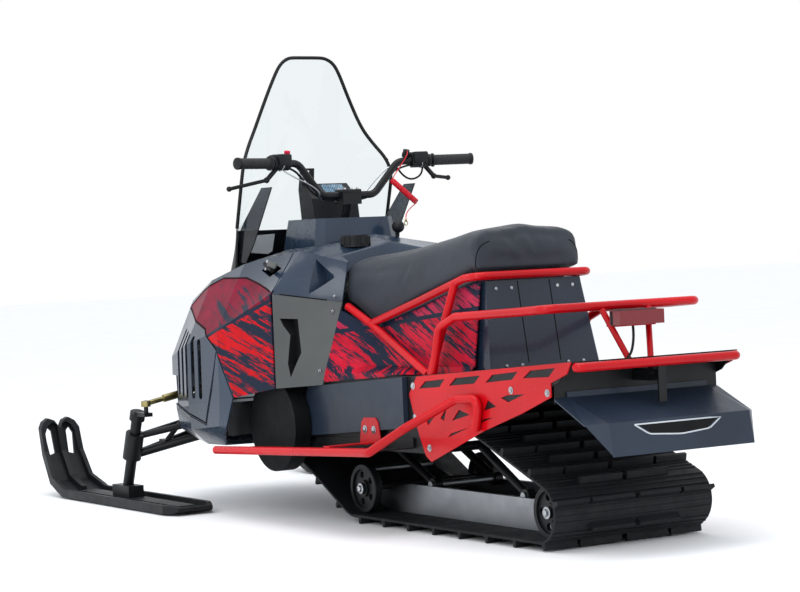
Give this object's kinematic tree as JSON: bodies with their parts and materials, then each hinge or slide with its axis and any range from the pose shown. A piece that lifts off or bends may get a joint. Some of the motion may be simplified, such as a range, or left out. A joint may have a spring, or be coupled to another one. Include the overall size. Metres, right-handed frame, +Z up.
{
  "type": "snowmobile",
  "caption": "Utility snowmobile with a wide lugged track, two steerable skis, tilting front body, tall clear windshield, padded seat and tubular cargo racks.",
  "frame": {"origin": "on the ground, under the middle of the whole sled's length and width", "axes": "+X forward to the ski tips, +Y to the rider's left, +Z up"},
  "size_m": [2.7769, 1.08, 1.368],
  "materials": {
    "track_rubber": "matt moulded rubber",
    "wheel_plastic": "moulded black",
    "aluminium": "mill finish",
    "black_steel": "black powder coat",
    "red_steel": "bright red powder coat",
    "body_plastic": "glossy dark slate",
    "graphic_plastic": "glossy red and dark graphics",
    "dark_plastic": "dark grey textured",
    "seat_vinyl": "dark slate vinyl",
    "red_lens": "red lens",
    "plated_steel": "yellow-olive plated",
    "grip_rubber": "soft black rubber",
    "clear_plastic": "clear sheet",
    "red_cord": "bright red coiled cord"
  },
  "bodies": {
    "chassis": {"track": "track_rubber", "rear_idlers": "wheel_plastic", "bogie_wheels": "wheel_plastic", "carrier_wheels": "wheel_plastic", "drive_axle": "wheel_plastic", "slide_rails": "aluminium", "skid_arms": "black_steel", "tunnel": "black_steel", "side_plate_left": "red_steel", "side_plate_right": "red_steel", "running_board_left": "black_steel", "running_board_right": "black_steel", "board_rail_left": "red_steel", "board_rail_right": "red_steel", "side_panel_left": "body_plastic", "side_panel_right": "body_plastic", "console": "body_plastic", "belly_pan": "body_plastic", "rear_panels": "graphic_plastic", "lower_covers": "dark_plastic", "seat": "seat_vinyl", "seat_box": "body_plastic", "seat_frame": "red_steel", "rack_upper": "red_steel", "rack_lower": "red_steel", "tail_light": "red_lens", "mud_flap": "dark_plastic", "tow_hitch": "black_steel", "front_arms_left": "black_steel", "front_arms_right": "black_steel", "front_shocks": "black_steel", "bulkhead": "aluminium", "engine_block": "aluminium", "drive_pulley": "aluminium", "gauge_pod": "dark_plastic", "shift_lever": "dark_plastic", "fuel_cap": "dark_plastic"},
    "handlebar": {"handlebar": "black_steel", "grips": "grip_rubber", "bar_controls": "dark_plastic", "tether_lead": "red_cord", "tether_coil": "red_cord", "tether_tail": "red_cord", "tether_cap": "dark_plastic", "tether_clip": "plated_steel"},
    "spindle_left": {"spindle_left": "black_steel", "ski_left": "dark_plastic"},
    "spindle_right": {"spindle_right": "black_steel", "ski_right": "dark_plastic"},
    "tie_rod_left": {"tie_rod_left": "plated_steel"},
    "tie_rod_right": {"tie_rod_right": "plated_steel"},
    "hood": {"hood": "body_plastic", "nose_cover": "body_plastic", "front_quarter_left": "graphic_plastic", "front_quarter_right": "graphic_plastic", "headlight_housing": "dark_plastic", "windshield": "clear_plastic", "windshield_wings": "dark_plastic", "headlights": "clear_plastic"}
  },
  "joints": [
    {"name": "handlebar_turn", "type": "hinge", "parent": "chassis", "child": "handlebar", "pos_m": [0.184, 0, 0.912], "axis": [-0.4848, 0, 0.8746], "range_deg": [-30, 30]},
    {"name": "ski_left_turn", "type": "hinge", "parent": "chassis", "child": "spindle_left", "pos_m": [0.827, 0.46, 0.097], "axis": [-0.3731, 0, 0.9278], "range_deg": [-30, 30]},
    {"name": "ski_right_turn", "type": "hinge", "parent": "chassis", "child": "spindle_right", "pos_m": [0.827, -0.46, 0.097], "axis": [-0.3731, 0, 0.9278], "range_deg": [-30, 30]},
    {"name": "tie_rod_left_swing", "type": "hinge", "parent": "spindle_left", "child": "tie_rod_left", "pos_m": [0.68859, 0.46, 0.321], "axis": [0, 0, 1], "range_deg": [-30, 30]},
    {"name": "tie_rod_right_swing", "type": "hinge", "parent": "spindle_right", "child": "tie_rod_right", "pos_m": [0.68859, -0.46, 0.321], "axis": [0, 0, 1], "range_deg": [-30, 30]},
    {"name": "hood_hinge", "type": "hinge", "parent": "chassis", "child": "hood", "pos_m": [0.968, 0, 0.3], "axis": [0, 1, 0], "range_deg": [0, 65]}
  ],
  "couplings": [
    {"joint": "ski_left_turn", "follows": "handlebar_turn", "ratio": 1},
    {"joint": "ski_right_turn", "follows": "handlebar_turn", "ratio": 1},
    {"joint": "tie_rod_left_swing", "follows": "handlebar_turn", "ratio": -1},
    {"joint": "tie_rod_right_swing", "follows": "handlebar_turn", "ratio": -1}
  ]
}
